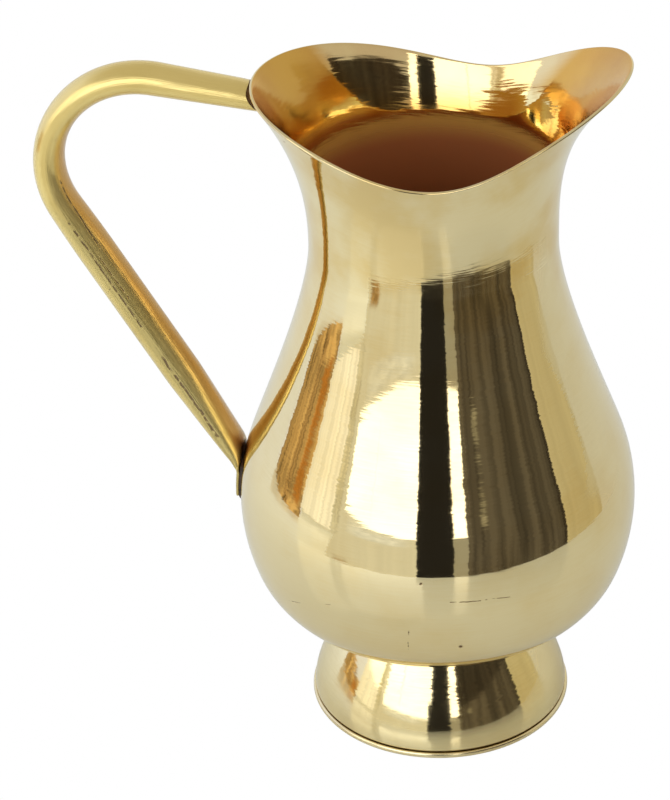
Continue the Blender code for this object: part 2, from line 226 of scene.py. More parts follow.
def loftRings(name, rings):
    selectOnly(None)
    sides = len(rings[0])
    bpy.ops.mesh.primitive_circle_add(vertices=sides)
    piece = namePiece(name)
    bpy.ops.object.mode_set(mode="EDIT")
    edit = bmesh.from_edit_mesh(piece.data)
    spoke = edit.verts.layers.int.new("spoke")
    edit.verts.layers.float.new("run")
    for i, vert in enumerate(edit.verts):
        vert[spoke] = i
    gone = 0
    for number, ring in enumerate(rings):
        if number:
            bpy.ops.mesh.extrude_region_move()
            gone += (sum(ring, Vector()) - sum(rings[number - 1], Vector())).length / sides
        edit = bmesh.from_edit_mesh(piece.data)
        spoke = edit.verts.layers.int["spoke"]
        run = edit.verts.layers.float["run"]
        for vert in edit.verts:
            if vert.select:
                vert.co = ring[vert[spoke]]
                vert[run] = gone
        bmesh.update_edit_mesh(piece.data)
    bpy.ops.mesh.select_all(action="SELECT")
    bpy.ops.mesh.fill_holes(sides=0)
    closeEdit()
    storeTurned(piece, [2 * math.pi * mark.value / sides for mark in piece.data.attributes["spoke"].data])
    return piece


def fitToFrame(piece, node, sharpAngle=sharpEdge):
    selectOnly(piece)
    bpy.ops.object.shade_smooth_by_angle(angle=math.radians(sharpAngle))
    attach(piece, "root")
    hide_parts(node)
    print("fitted", piece.name, len(piece.data.polygons), "faces")


def fitSpun(piece, node):
    storeTurned(piece, [math.atan2(spot.co.y, spot.co.x - axisX) for spot in piece.data.vertices])
    fitToFrame(piece, node)


# Vessel: spun as an upright blank, its neck then pulled out into the lip

def makeVessel(outside, inside):
    size = vesselSize
    blankRise = max(size["lipRise"])
    levels = size["neckLevels"]
    neck = [(size["throatRadius"], throatHeight + blankRise * (1 - i / levels)) for i in range(levels)]
    body = bodyProfile(size["shoulderLevels"], size["bellyLevels"], size["heelLevels"])
    levels = size["floorLevels"]
    flat = [(body[-1][0] * (1 - (i + 1) / levels), footHeight) for i in range(levels)]
    vessel = spinProfile("vesselShell", neck + body + flat, size["sides"])
    for vertex in vessel.data.vertices:
        share = (vertex.co.z - throatHeight) / blankRise
        if share > 0:
            angle = math.atan2(vertex.co.y, vertex.co.x - axisX)
            radius, height = lipPoint(angle, share)
            vertex.co = (axisX + radius * math.cos(angle), radius * math.sin(angle), height)
    vessel.data.materials.append(outside)
    vessel.data.materials.append(inside)
    addWall(vessel, size["sheet"], size["rimRound"], 1)
    fitSpun(vessel, "vessel")


# Foot: a spun bell, open below, on its ring

footSize = dict(
    sheet=0.0012,
    edgeRadius=0.0457,
    topRadius=0.0285,
    skirtUpright=0.0083,
    skirtShoulder=(0.0120, 0.0200),  # pull of the upper curve, outwards and downwards
    edgeRound=0.0004,
    sides=160,
    levels=48,
)
ringSize = dict(
    height=0.0022,
    overhang=0.0008,
    width=0.0034,
    cornerRound=0.0009,
    sides=160,
    cornerPoints=7,
)


def footProfile(count):
    size = footSize
    top = (size["topRadius"], footHeight - seamGap)
    edge = (size["edgeRadius"], ringSize["height"] + seamGap)
    topPull = (top[0] + size["skirtShoulder"][0], top[1] - size["skirtShoulder"][1])
    edgePull = (edge[0], edge[1] + size["skirtUpright"])
    return bezierRun(top, topPull, edgePull, edge, count)


def makeFoot(finish):
    foot = spinProfile("footBell", footProfile(footSize["levels"]), footSize["sides"])
    foot.data.materials.append(finish)
    addWall(foot, footSize["sheet"], footSize["edgeRound"], 0)
    fitSpun(foot, "foot")


def makeBaseRing(finish):
    size = ringSize
    corner = size["cornerRound"]
    outer = footSize["edgeRadius"] + size["overhang"] - corner
    inner = outer + 2 * corner - size["width"]
    upper = size["height"] - corner
    profile = []
    for i, centre in enumerate(((outer, upper), (outer, corner), (inner, corner), (inner, upper))):
        start = math.pi / 2 * (1 - i)
        profile += arcRun(centre, corner, start, start - math.pi / 2, size["cornerPoints"])
    ring = spinProfile("baseRing", profile + profile[:1], size["sides"])
    ring.data.materials.append(finish)
    fitSpun(ring, "base_ring")


footFillerSize = dict(
    radius=0.0010,
    lumps=0.00006,  # filler never runs quite even
    lumpSeed=4,
    smoothing=0.5,
    smoothTurns=2,
    sharpAngle=180,
    sides=160,
    beadSides=12,
)


def makeFootFiller(finish):
    size = footFillerSize
    clear = size["radius"]
    height = footHeight - seamGap - clear
    beside = [(r, z - height) for r, z in footProfile(finePoints) if abs(z - height) < clear]
    radius = max(r + math.sqrt(clear ** 2 - rise ** 2) for r, rise in beside)
    selectOnly(None)
    bpy.ops.mesh.primitive_torus_add(
        major_radius=radius, minor_radius=clear, major_segments=size["sides"],
        minor_segments=size["beadSides"], location=(axisX, 0, height))
    bead = namePiece("footFiller")
    bpy.ops.object.transform_apply(location=True, rotation=True, scale=True)
    bpy.ops.object.mode_set(mode="EDIT")
    bpy.ops.mesh.select_all(action="SELECT")
    bpy.ops.transform.vertex_random(offset=size["lumps"], seed=size["lumpSeed"])
    bpy.ops.mesh.vertices_smooth(factor=size["smoothing"], repeat=size["smoothTurns"])
    bpy.ops.object.mode_set(mode="OBJECT")
    bead.data.materials.append(finish)
    fitToFrame(bead, "foot_braze", size["sharpAngle"])


# Handle: a tube bent in one plane, coped to the lip above and pressed flat on the belly below

handleSize = dict(
    legRadius=0.0066,
    endRadius=0.0057,
    barLength=0.1055,
    barSlope=math.radians(8.3),
    bendRadius=0.0337,
    heelBendRadius=0.0150,
    lipMargin=0.0015,
    barClear=0.0075,  # first whole section, past the coped end
    copeInset=0.0040,  # how far the coped end is open
    boreTaper=0.25,
    endSquash=0.78,  # thickness left, as a share of the tube's
    barSquash=0.90,
    bendSquash=0.80,
    legSettle=0.0200,  # below the bend the tube is round again
    legShare=0.9,  # the leg lies below this share of the bar's height
    pressRun=0.0380,
    pressPower=0.40,
    flatPower=0.30,
    tongueThickness=0.0016,
    tongueTop=0.0110,  # above the widest part
    tongueLength=0.0112,
    tipRound=0.0005,
    tipShares=(0.35, 0.75, 1.0),
    sharpAngle=50,
    sides=56,
    barRings=26,
    bendRings=44,
    legRings=40,
    pressRings=26,
    heelRings=22,
    tongueRings=10,
)
endHalf = handleSize["endRadius"] * handleSize["endSquash"]
flatShare = handleSize["tongueThickness"] / 2 / handleSize["legRadius"]
barWay = Vector((-math.cos(handleSize["barSlope"]), 0, math.sin(handleSize["barSlope"])))
barUp = sideways.cross(barWay)
seatDrop = handleSize["lipMargin"] + endHalf / math.cos(handleSize["barSlope"])
seatHeight = lipPoint(handleSide, 1)[1] - seatDrop
barSeat = Vector((axisX - vesselRadius(handleSide, seatHeight), 0, seatHeight))


def bendRun(before, corner, after, radius, count):
    toBefore = (before - corner).normalized()
    toAfter = (after - corner).normalized()
    half = toBefore.angle(toAfter) / 2
    centre = corner + (toBefore + toAfter).normalized() * radius / math.sin(half)
    start = (corner + toBefore * radius / math.tan(half) - centre).normalized()
    end = (corner + toAfter * radius / math.tan(half) - centre).normalized()
    return [centre + start.slerp(end, i / (count - 1)) * radius for i in range(count)]


def onBelly(height):
    out = vesselRadius(handleSide, height) + seamGap + handleSize["tongueThickness"] / 2
    return Vector((axisX - out, 0, height))


def handleRoute():
    size = handleSize
    crossing = barSeat + barWay * size["barLength"] / math.cos(size["barSlope"])
    heel = onBelly(bellyHeight + size["tongueTop"])
    tip = onBelly(bellyHeight + size["tongueTop"] - size["tongueLength"])
    bend = bendRun(barSeat, crossing, heel, size["bendRadius"], size["bendRings"])
    press = bendRun(crossing, heel, tip, size["heelBendRadius"], size["heelRings"])
    middleRadius = (size["endRadius"] + size["legRadius"]) / 2
    route = []
    for i in range(size["barRings"]):
        share = i / size["barRings"]
        radius = between(size["endRadius"], middleRadius, share)
        squash = between(size["endSquash"], size["barSquash"], share)
        route.append((barSeat.lerp(bend[0], share), radius, squash))
    for i, centre in enumerate(bend):
        share = i / (size["bendRings"] - 1)
        radius = between(middleRadius, size["legRadius"], share)
        squash = between(size["barSquash"], size["bendSquash"], math.sin(math.pi * share))
        route.append((centre, radius, squash))
    legWay = (heel - bend[-1]).normalized()
    pressStart = heel - legWay * size["pressRun"]
    for i in range(1, size["legRings"]):
        centre = bend[-1].lerp(pressStart, i / size["legRings"])
        settled = min((centre - bend[-1]).length / size["legSettle"], 1)
        squash = between(size["barSquash"], 1, math.sin(settled * math.pi / 2))
        route.append((centre, size["legRadius"], squash))
    legEnd = [pressStart.lerp(press[0], i / size["pressRings"]) for i in range(size["pressRings"])]
    for centre in legEnd + press:
        toHeel = max((heel - centre).dot(legWay), 0) / size["pressRun"]
        squash = between(flatShare, 1, toHeel ** size["pressPower"])
        centre.x = min(centre.x, onBelly(centre.z).x)
        route.append((centre, size["legRadius"], squash))
    for i in range(size["tongueRings"]):
        height = between(press[-1].z, tip.z, (i + 1) / size["tongueRings"])
        route.append((onBelly(height), size["legRadius"], flatShare))
    return route


def handleStations():
    route = handleRoute()
    stations = []
    for i in range(1, len(route)):
        centre, radius, squash = route[i]
        along = (route[min(i + 1, len(route) - 1)][0] - route[i - 1][0]).normalized()
        half = radius * squash
        pressed = 0
        if centre.z < throatHeight:  # no thicker than the room beside the belly
            room = (axisX - centre.x - vesselRadius(handleSide, centre.z)) * abs(along.z) - seamGap
            half = max(min(half, room), handleSize["tongueThickness"] / 2)
            pressed = 1 - half / radius
        stations.append((centre, along, radius, half, pressed))
    return stations


def halfWidthOf(radius, half):
    return half + math.pi / 2 * (radius - half)  # the girth is kept


def pressedSection(radius, half, sides):
    power = between(handleSize["flatPower"], 1, half / radius)
    section = []
    for i in range(sides):
        turn = 2 * math.pi * (i + 0.5) / sides
        level = math.copysign(abs(math.sin(turn)) ** power, math.sin(turn))
        section.append((halfWidthOf(radius, half) * math.cos(turn), half * level))
    return section


def lipSeat(side, level, stand, steps=40):
    start = barSeat + barWay * 2 * handleSize["endRadius"] + sideways * side + barUp * level
    near = 0
    far = 4 * handleSize["endRadius"]
    for _ in range(steps):  # halves the way to the lip each time
        middle = (near + far) / 2
        spot = start - barWay * middle
        angle = math.atan2(spot.y, spot.x - axisX)
        if math.hypot(spot.x - axisX, spot.y) - vesselRadius(angle, spot.z) > stand:
            near = middle
        else:
            far = middle
    return start - barWay * near


lipFillerSize = dict(depth=0.0034, least=0.0005, flare=0.10, flarePower=3, dish=0.05, rings=9, sides=48)


def fillerDepth(side):
    size = lipFillerSize
    section = pressedSection(handleSize["endRadius"], endHalf, size["sides"])
    halfWidth = max(across for across, level in section)
    return between(size["least"], size["depth"], (side / halfWidth) ** 2)


def makeHandle(finish):
    size = handleSize
    rings = []
    for inset in (size["copeInset"], 0):  # the bore's end, then the coped edge
        share = 1 - inset / size["endRadius"] * size["boreTaper"]
        ring = []
        for side, level in pressedSection(size["endRadius"], endHalf, size["sides"]):
            stand = fillerDepth(side) + seamGap + inset
            ring.append(lipSeat(side * share, level * share, seamGap) + barWay * stand)
        rings.append(ring)
    belly = vesselSize["bellyRadius"]
    for centre, along, radius, half, pressed in handleStations():
        if (centre - barSeat).length < size["barClear"]:
            continue
        across = sideways.cross(along)
        ring = []
        for side, level in pressedSection(radius, half, size["sides"]):
            wrap = pressed * (belly - math.sqrt(belly ** 2 - side ** 2))
            ring.append(centre + across * level + sideways * side + Vector((wrap, 0, 0)))
        rings.append(ring)
    tip = rings[-1]
    middle = sum(tip, Vector()) / len(tip)
    for share in size["tipShares"]:  # the tip's edge is filed round
        drop = Vector((0, 0, -size["tipRound"] * math.sin(share * math.pi / 2)))
        inset = size["tipRound"] * (1 - math.cos(share * math.pi / 2))
        rings.append([spot + drop + (middle - spot).normalized() * inset for spot in tip])
    handle = loftRings("handleTube", rings)
    handle.data.materials.append(finish)
    fitToFrame(handle, "handle", size["sharpAngle"])


def makeLipFiller(finish):
    size = lipFillerSize
    section = pressedSection(handleSize["endRadius"], endHalf, size["sides"])
    rings = []
    for i in range(size["rings"]):
        share = i / (size["rings"] - 1)
        spread = 1 + size["flare"] * (1 - share) ** size["flarePower"]
        spread -= size["dish"] * math.sin(math.pi * share)
        ring = []
        for side, level in section:
            depth = (fillerDepth(side) + 2 * seamGap) * share
            ring.append(lipSeat(side * spread, level * spread, 0) + barWay * depth)
        rings.append(ring)
    filler = loftRings("lipFiller", rings)
    filler.data.materials.append(finish)
    fitToFrame(filler, "lip_braze")


# Tail filler: the burnt fillet round the tongue, up into the corner of leg and belly

tailFillerSize = dict(
    topAbove=0.0116,  # its top, above the belly's widest part
    below=0.0014,  # how far it runs past the tongue's tip
    beadWidth=0.0014,
    cornerWidth=0.0017,  # wider where the leg lifts off
    edgeHeight=0.0007,
    most=0.0009,  # deepest fill between leg and belly
    sunk=0.0003,
    skin=0.0001,
    edgePower=1.5,
    topPower=3,
    legAbove=0.01,  # how much of the leg is measured, above the top
    leastSlope=0.3,
    columns=64,
    rows=64,
)


def makeTailFiller(finish):
    size = tailFillerSize
    heelHeight = bellyHeight + handleSize["tongueTop"]
    tipHeight = heelHeight - handleSize["tongueLength"]
    low = tipHeight - size["below"]
    high = bellyHeight + size["topAbove"]
    beside = []
    for centre, along, radius, half, pressed in handleStations():
        if centre.z < high + size["legAbove"]:
            gap = axisX - centre.x - half / max(abs(along.z), size["leastSlope"])
            gap -= vesselRadius(handleSide, centre.z)
            beside.append((centre.z, halfWidthOf(radius, half), max(gap, 0)))
    heights, halfWidths, gaps = np.array(beside[::-1]).T

    def fillAt(side, height):
        lift = min(max((height - heelHeight) / (high - heelHeight), 0), 1)
        bead = between(size["beadWidth"], size["cornerWidth"], math.sin(math.pi * lift))
        past = abs(side) - np.interp(height, heights, halfWidths)
        fill = min(np.interp(height, heights, gaps) + size["edgeHeight"], size["most"])
        if past >= 0:
            fill *= max(1 - past / bead, 0) ** size["edgePower"]
        if height < tipHeight:  # round the tip
            fill *= math.sqrt(max(1 - ((tipHeight - height) / size["below"]) ** 2, 0))
        return fill * math.sqrt(max(1 - lift ** size["topPower"], 0))

    widest = halfWidths.max() + size["cornerWidth"]
    selectOnly(None)
    bpy.ops.mesh.primitive_grid_add(x_subdivisions=size["columns"], y_subdivisions=size["rows"], size=2)
    filler = namePiece("tailFiller")
    bpy.ops.object.mode_set(mode="EDIT")
    edit = bmesh.from_edit_mesh(filler.data)
    acrossMark = edit.verts.layers.float.new("across")
    heightMark = edit.verts.layers.float.new("upward")
    for vert in edit.verts:
        vert[acrossMark] = vert.co.x * widest
        vert[heightMark] = between(low, high, (vert.co.y + 1) / 2)
    bmesh.update_edit_mesh(filler.data)
    for layer in range(2):  # the side on the belly, then the face of the fillet
        if layer:
            bpy.ops.mesh.extrude_region_move()
        edit = bmesh.from_edit_mesh(filler.data)
        acrossMark = edit.verts.layers.float["across"]
        heightMark = edit.verts.layers.float["upward"]
        for vert in edit.verts:
            if vert.select:
                side = vert[acrossMark]
                height = vert[heightMark]
                out = vesselRadius(handleSide, height) - size["sunk"]
                if layer:
                    out += size["skin"] + fillAt(side, height)
                turn = handleSide + side / vesselSize["bellyRadius"]
                vert.co = (axisX + out * math.cos(turn), out * math.sin(turn), height)
        bmesh.update_edit_mesh(filler.data)
    closeEdit()
    filler.data.materials.append(finish)
    fitToFrame(filler, "tail_braze")


# Camera at the photo's angle

photoView = dict(
    fromAxis=(0.1303, -1.0615, 0.7904),  # from the foot of the jug's axis
    heading=math.radians(8.889),
    tilt=math.radians(58.029),
    roll=math.radians(-1.886),
    lens=162.33,  # millimetres, as is the sensor
    sensor=36,
    farEnd=20,
)


def makeCamera():
    view = photoView
    camera = bpy.data.objects.new("photoCamera", bpy.data.cameras.new("photoCamera"))
    bpy.context.scene.collection.objects.link(camera)
    camera.data.lens = view["lens"]
    camera.data.sensor_width = view["sensor"]
    camera.data.clip_end = view["farEnd"]
    turn = Matrix.Rotation(view["heading"], 4, "Z") @ Matrix.Rotation(view["tilt"], 4, "X")
    place = Matrix.Translation(Vector(view["fromAxis"]) + Vector((axisX, 0, 0)))
    camera.matrix_world = place @ turn @ Matrix.Rotation(view["roll"], 4, "Z")
    bpy.context.scene.camera = camera
    print("camera set")


# Node steps that the finishes share

def feed(tree, node, values):
    for place, value in values.items():
        if isinstance(value, bpy.types.NodeSocket):
            tree.links.new(value, node.inputs[place])
        else:
            node.inputs[place].default_value = value
    return node.outputs


def addNode(tree, kind, values, **settings):
    node = tree.nodes.new("ShaderNode" + kind)
    for name, setting in settings.items():
        setattr(node, name, setting)
    return feed(tree, node, values)


def mathOf(tree, operation, *values, kind="Math", output="Value"):
    if len(values) == 1:
        return addNode(tree, kind, {0: values[0]}, operation=operation)[output]
    result = values[0]
    for value in values[1:]:  # one node for each further value
        result = addNode(tree, kind, {0: result, 1: value}, operation=operation)[output]
    return result


def plus(tree, *values):
    return mathOf(tree, "ADD", *values)


def minus(tree, *values):
    return mathOf(tree, "SUBTRACT", *values)


def times(tree, *values):
    return mathOf(tree, "MULTIPLY", *values)


def most(tree, *values):
    return mathOf(tree, "MAXIMUM", *values)


def vectorOf(tree, operation, *values):
    output = "Value" if operation in ("DOT_PRODUCT", "LENGTH") else "Vector"
    return mathOf(tree, operation, *values, kind="VectorMath", output=output)


def stretchOf(tree, vector, length):
    return addNode(tree, "VectorMath", {0: vector, "Scale": length}, operation="SCALE")["Vector"]


def splitOf(tree, vector):
    return addNode(tree, "SeparateXYZ", {0: vector})


def joinOf(tree, *values):
    return addNode(tree, "CombineXYZ", dict(enumerate(values)))[0]


def noiseOf(tree, place, scale, detail):
    return addNode(tree, "TexNoise", {"Vector": place, "Scale": scale, "Detail": detail})[0]


def fromMiddle(tree, noise):
    return minus(tree, noise, 0.5)  # noise swings about a half


def rampOf(tree, value, start, end, low=0.0, high=1.0):
    values = dict(enumerate((value, start, end, low, high)))
    return addNode(tree, "MapRange", values, interpolation_type="SMOOTHSTEP")[0]


def blendOf(tree, share, *colours):
    first, second = [tone if isinstance(tone, bpy.types.NodeSocket) else (*tone, 1) for tone in colours]
    return addNode(tree, "Mix", {0: share, 6: first, 7: second}, data_type="RGBA")[2]


def mixOf(tree, share, first, second):
    return addNode(tree, "MixShader", {0: share, 1: first, 2: second})[0]


def objectPlace(tree):
    return addNode(tree, "TexCoord", {})["Object"]


def turnedPlace(tree):
    return addNode(tree, "Attribute", {}, attribute_name="turned")["Vector"]


def faceOf(tree):
    return addNode(tree, "NewGeometry", {})["Normal"]


def newMaterial(name):
    material = bpy.data.materials.new(name)
    material.use_nodes = True
    print("finish", name)
    return material, material.node_tree, material.node_tree.nodes["Principled BSDF"]


def newGroup(name, inputs, outputs):
    group = bpy.data.node_groups.new(name, "ShaderNodeTree")
    for label, value in inputs.items():
        kind = "NodeSocketVector" if isinstance(value, tuple) else "NodeSocketFloat"
        socket = group.interface.new_socket(name=label, in_out="INPUT", socket_type=kind)
        socket.default_value = value
    for label in outputs:
        kind = "NodeSocketVector" if label == "Normal" else "NodeSocketFloat"
        group.interface.new_socket(name=label, in_out="OUTPUT", socket_type=kind)
    return group, group.nodes.new("NodeGroupInput").outputs, group.nodes.new("NodeGroupOutput")


def placeGroup(tree, group, values):
    return addNode(tree, "Group", values, node_tree=group)


# Fine lines left by turning or drawing: they lie round a turned piece, and along a drawn one

toolShape = dict(
    apart=(7.3, 2.9, 51.7),  # keeps the second set of lines off the first
    clusters=(0.8, 0.8, 0.1),
    clusterRange=(0.42, 0.66),
    toneDetail=3.0,
    lineDetail=2.0,
    clusterDetail=1.0,
)


def makeToolLines():
    shape = toolShape
    group, given, result = newGroup(
        "toolLines",
        {"Around": 5.0, "Along": 900.0, "Swing": 0.03, "Fray": 1.0, "Wave": 0.0, "Ripple": 0.01},
        ("Normal", "Tone", "Lines"))
    cosine, sine, run = splitOf(group, turnedPlace(group))
    place = joinOf(group, times(group, cosine, given["Around"]), times(group, sine, given["Around"]),
                   times(group, run, given["Along"]))
    tone = noiseOf(group, place, 1.0, shape["toneDetail"])
    lines = noiseOf(group, vectorOf(group, "ADD", place, shape["apart"]), 1.0, shape["lineDetail"])
    clusterPlace = vectorOf(group, "MULTIPLY", place, shape["clusters"])
    cluster = noiseOf(group, clusterPlace, 1.0, shape["clusterDetail"])
    shift = fromMiddle(group, tone)
    fray = times(group, shift, shift, rampOf(group, cluster, *shape["clusterRange"]), given["Fray"])
    swing = times(group, shift, plus(group, fray, given["Swing"]))
    swing = plus(group, swing, times(group, fromMiddle(group, cluster), given["Wave"]))
    ripple = times(group, fromMiddle(group, lines), given["Ripple"])
    face = faceOf(group)
    around = joinOf(group, times(group, sine, -1.0), cosine, 0.0)
    upward = vectorOf(group, "CROSS_PRODUCT", face, around)
    leaning = vectorOf(
        group, "ADD", face, stretchOf(group, around, swing), stretchOf(group, upward, ripple))
    feed(group, result, {"Normal": vectorOf(group, "NORMALIZE", leaning), "Tone": tone, "Lines": lines})
    return group


# Tarnish in soft clouds, and pits in the metal

tarnishShape = dict(cloudDetail=4.0, cloudRange=(0.40, 0.68), pitWidth=(0.04, 0.11), pitEdge=(1.0, 0.5))


def makeTarnish():
    shape = tarnishShape
    group, given, result = newGroup(
        "tarnish", {"Cloud Scale": 24.0, "Pit Scale": 200.0, "Pit Share": 0.1}, ("Cloud", "Pits"))
    place = objectPlace(group)
    cloud = noiseOf(group, place, given["Cloud Scale"], shape["cloudDetail"])
    cloud = rampOf(group, cloud, *shape["cloudRange"])
    cells = addNode(group, "TexVoronoi", {"Vector": place, "Scale": given["Pit Scale"]})
    chance = splitOf(group, cells["Color"])
    chosen = mathOf(group, "LESS_THAN", chance[0], given["Pit Share"])
    width = rampOf(group, chance[1], 0.0, 1.0, *shape["pitWidth"])
    spot = rampOf(group, mathOf(group, "DIVIDE", cells["Distance"], width), *shape["pitEdge"])
    feed(group, result, {"Cloud": cloud, "Pits": times(group, spot, chosen)})
    return group


# One scratch between two points of the surface

scratchShape = dict(
    waverScale=160.0,
    gapScale=420.0,
    gapDetail=2.0,
    gaps=(0.38, 0.52),
    edge=(1.0, 0.4),
    depth=(0.006, 0.004),  # so that the wall's far side has no mark
)


def makeScratch():
    shape = scratchShape
    group, given, result = newGroup(
        "scratch", {"Start": (0, 0, 0), "End": (0, 0, 1), "Width": 0.0003, "Waver": 0.0012}, ("Mask",))
    place = objectPlace(group)
    waver = addNode(group, "TexNoise", {"Vector": place, "Scale": shape["waverScale"]})["Color"]
    waver = vectorOf(group, "SUBTRACT", waver, (0.5, 0.5, 0.5))
    place = vectorOf(group, "ADD", place, stretchOf(group, waver, given["Waver"]))
    reach = vectorOf(group, "SUBTRACT", given["End"], given["Start"])
    offset = vectorOf(group, "SUBTRACT", place, given["Start"])
    along = mathOf(group, "DIVIDE", vectorOf(group, "DOT_PRODUCT", offset, reach),
                   vectorOf(group, "DOT_PRODUCT", reach, reach))
    along = mathOf(group, "MINIMUM", most(group, along, 0.0), 1.0)
    aside = vectorOf(group, "SUBTRACT", offset, stretchOf(group, reach, along))
    face = faceOf(group)
    under = vectorOf(group, "DOT_PRODUCT", aside, face)  # the straight line runs under a round wall
    aside = vectorOf(group, "SUBTRACT", aside, stretchOf(group, face, under))
    apart = mathOf(group, "DIVIDE", vectorOf(group, "LENGTH", aside), given["Width"])
    mask = times(
        group, rampOf(group, apart, *shape["edge"]),
        rampOf(group, noiseOf(group, place, shape["gapScale"], shape["gapDetail"]), *shape["gaps"]),
        rampOf(group, mathOf(group, "ABSOLUTE", under), *shape["depth"]))
    feed(group, result, {"Mask": mask})
    return group


# Soft spot: the brown tint that the brazing flame leaves round a joint, or a small dent

spotShape = dict(scale=260.0, detail=3.0, edge=(1.0, 0.35))


def makeSoftSpot():
    shape = spotShape
    group, given, result = newGroup("softSpot", {"Centre": (0, 0, 0), "Reach": 0.01}, ("Mask",))
    place = objectPlace(group)
    apart = vectorOf(group, "LENGTH", vectorOf(group, "SUBTRACT", place, given["Centre"]))
    uneven = fromMiddle(group, noiseOf(group, place, shape["scale"], shape["detail"]))
    apart = plus(group, mathOf(group, "DIVIDE", apart, given["Reach"]), uneven)
    feed(group, result, {"Mask": rampOf(group, apart, *shape["edge"])})
    return group


toolLines = makeToolLines()
tarnish = makeTarnish()
scratch = makeScratch()
softSpot = makeSoftSpot()


def linesOf(tree, look):
    labels = ("Around", "Along", "Swing", "Fray", "Wave", "Ripple")
    return placeGroup(tree, toolLines, {label: look[label.lower()] for label in labels})


def stainOf(tree, look):
    return placeGroup(tree, tarnish, {
        "Cloud Scale": look["cloudScale"], "Pit Scale": look["pitScale"], "Pit Share": look["pitShare"]})


def spotOf(tree, centre, reach):
    return placeGroup(tree, softSpot, {"Centre": centre, "Reach": reach})["Mask"]


# Outside finishes. Marks are placed by degrees round the jug or the tube, and by height.

def onVessel(angle, height):
    turn = math.radians(angle)
    radius = vesselRadius(turn, height)
    return (axisX + radius * math.cos(turn), radius * math.sin(turn), height)


def onLeg(height, angle):
    turn = math.radians(angle)
    leg = [station for station in handleRoute() if station[0].z < handleSize["legShare"] * barSeat.z]
    for (centre, radius, squash), (below, _, _) in zip(leg, leg[1:]):
        if centre.z >= height >= below.z:
            across = sideways.cross((below - centre).normalized())
            spot = centre.lerp(below, (centre.z - height) / (centre.z - below.z))
            spot += across * radius * squash * math.sin(turn)
            return tuple(spot + sideways * radius * math.cos(turn))


lipJoint = tuple(barSeat)
tailJoint = tuple(onBelly(bellyHeight + handleSize["tongueTop"]))
plainLook = dict(
    colour=(0.83, 0.69, 0.39),
    tarnishColour=(0.76, 0.57, 0.25),
    pitAndShadeColour=(0.20, 0.13, 0.06),
    tintColour=(0.30, 0.13, 0.05),
    metallic=1.0,
    tarnishShare=0.45,
    brushedTone=0.5,
    cloudScale=24.0,
    neckTarnish=None,  # heights that it grows between, then its share there
    seamShadeTop=None,  # height of the painted shade in the seam below
    seamShadeBlur=0.0005,
    roughness=0.045,
    lineRoughness=0.05,
    pitRoughness=0.3,
    pitDepth=0.00012,
    around=6.0,
    along=1500.0,
    swing=0.03,
    fray=0.5,  # how far a few of the lines swing off
    wave=0.02,
    ripple=0.03,
    lineHeight=0.0,  # drawn pieces have their lines as a bump instead
    pitScale=170.0,
    pitShare=0.02,
    scratches=(),  # both ends, then the width
    dents=(),
    heated=(),
    bellyReflectionColour=None,
)
vesselLook = dict(
    plainLook,
    name="vesselBrass",
    cloudScale=34.0,
    neckTarnish=(0.150, 0.190, 0.45, 1.10),
    scratches=(
        (onVessel(-91.7, 0.0722), onVessel(-92.5, 0.0622), 0.00026),
        (onVessel(-79.9, 0.0845), onVessel(-71.4, 0.0842), 0.00021),
        (onVessel(-70.0, 0.0842), onVessel(-62.7, 0.0836), 0.00018),
        (onVessel(-146.0, 0.0626), onVessel(-115.5, 0.0765), 0.00018),
    ),
    dents=((onVessel(-76.9, 0.0636), 0.0009), (onVessel(-88.0, 0.0920), 0.0006)),
    heated=((tailJoint, 0.011),),
)
footLook = dict(
    plainLook,
    name="footBrass",
    # paler than the vessel's brass: painted light, lifting the foot against the shade it stands in
    colour=(0.90, 0.76, 0.42),
    # painted shade in the seam just above the base ring
    seamShadeTop=0.0032,
    roughness=0.08,
    swing=0.05,
    fray=3.0,
    pitShare=0.04,
)
ringLook = dict(
    plainLook,
    name="ringBrass",
    # paler than the vessel's brass: painted light, lifting the ring against the shade below the foot
    colour=(0.90, 0.77, 0.47),
    roughness=0.20,
)
handleLook = dict(
    plainLook,
    name="handleBrass",
    colour=(0.80, 0.62, 0.23),
    tarnishColour=(0.66, 0.49, 0.15),
    tarnishShare=0.7,
    bellyReflectionColour=(0.66, 0.39, 0.12),  # painted reflection of the belly, darker and more orange on the side that faces it
    bellyReflectionSide=(-0.45, -0.95),
    frontReflectionColour=(0.50, 0.39, 0.14),  # painted reflection: a dark stripe down the front of the leg
    frontHeights=(0.205, 0.180),
    frontUpper=(0.50, 0.25),  # its edges round the tube, as sines, then as a cosine
    frontLower=(-0.30, 0.0),
    frontFace=(-0.3, -0.6),
    frontTone=(0.30, 0.60, 0.5, 1.0),
    metallic=0.68,
    roughness=0.11,
    lineRoughness=0.10,
    around=16.0,
    along=30.0,
    swing=0.0,
    fray=0.0,
    wave=0.0,
    ripple=0.0,
    lineHeight=0.00010,
    pitScale=330.0,
    pitShare=0.10,
    scratches=(  # grime in the drawing lines of the leg
        (onLeg(0.138, 178), onLeg(0.107, 182), 0.00055),
        (onLeg(0.190, 186), onLeg(0.150, 180), 0.00036),
        (onLeg(0.176, 200), onLeg(0.160, 200), 0.00030),
        (onLeg(0.205, 222), onLeg(0.178, 216), 0.00040),
    ),
    heated=((tailJoint, 0.009), (lipJoint, 0.007)),
)


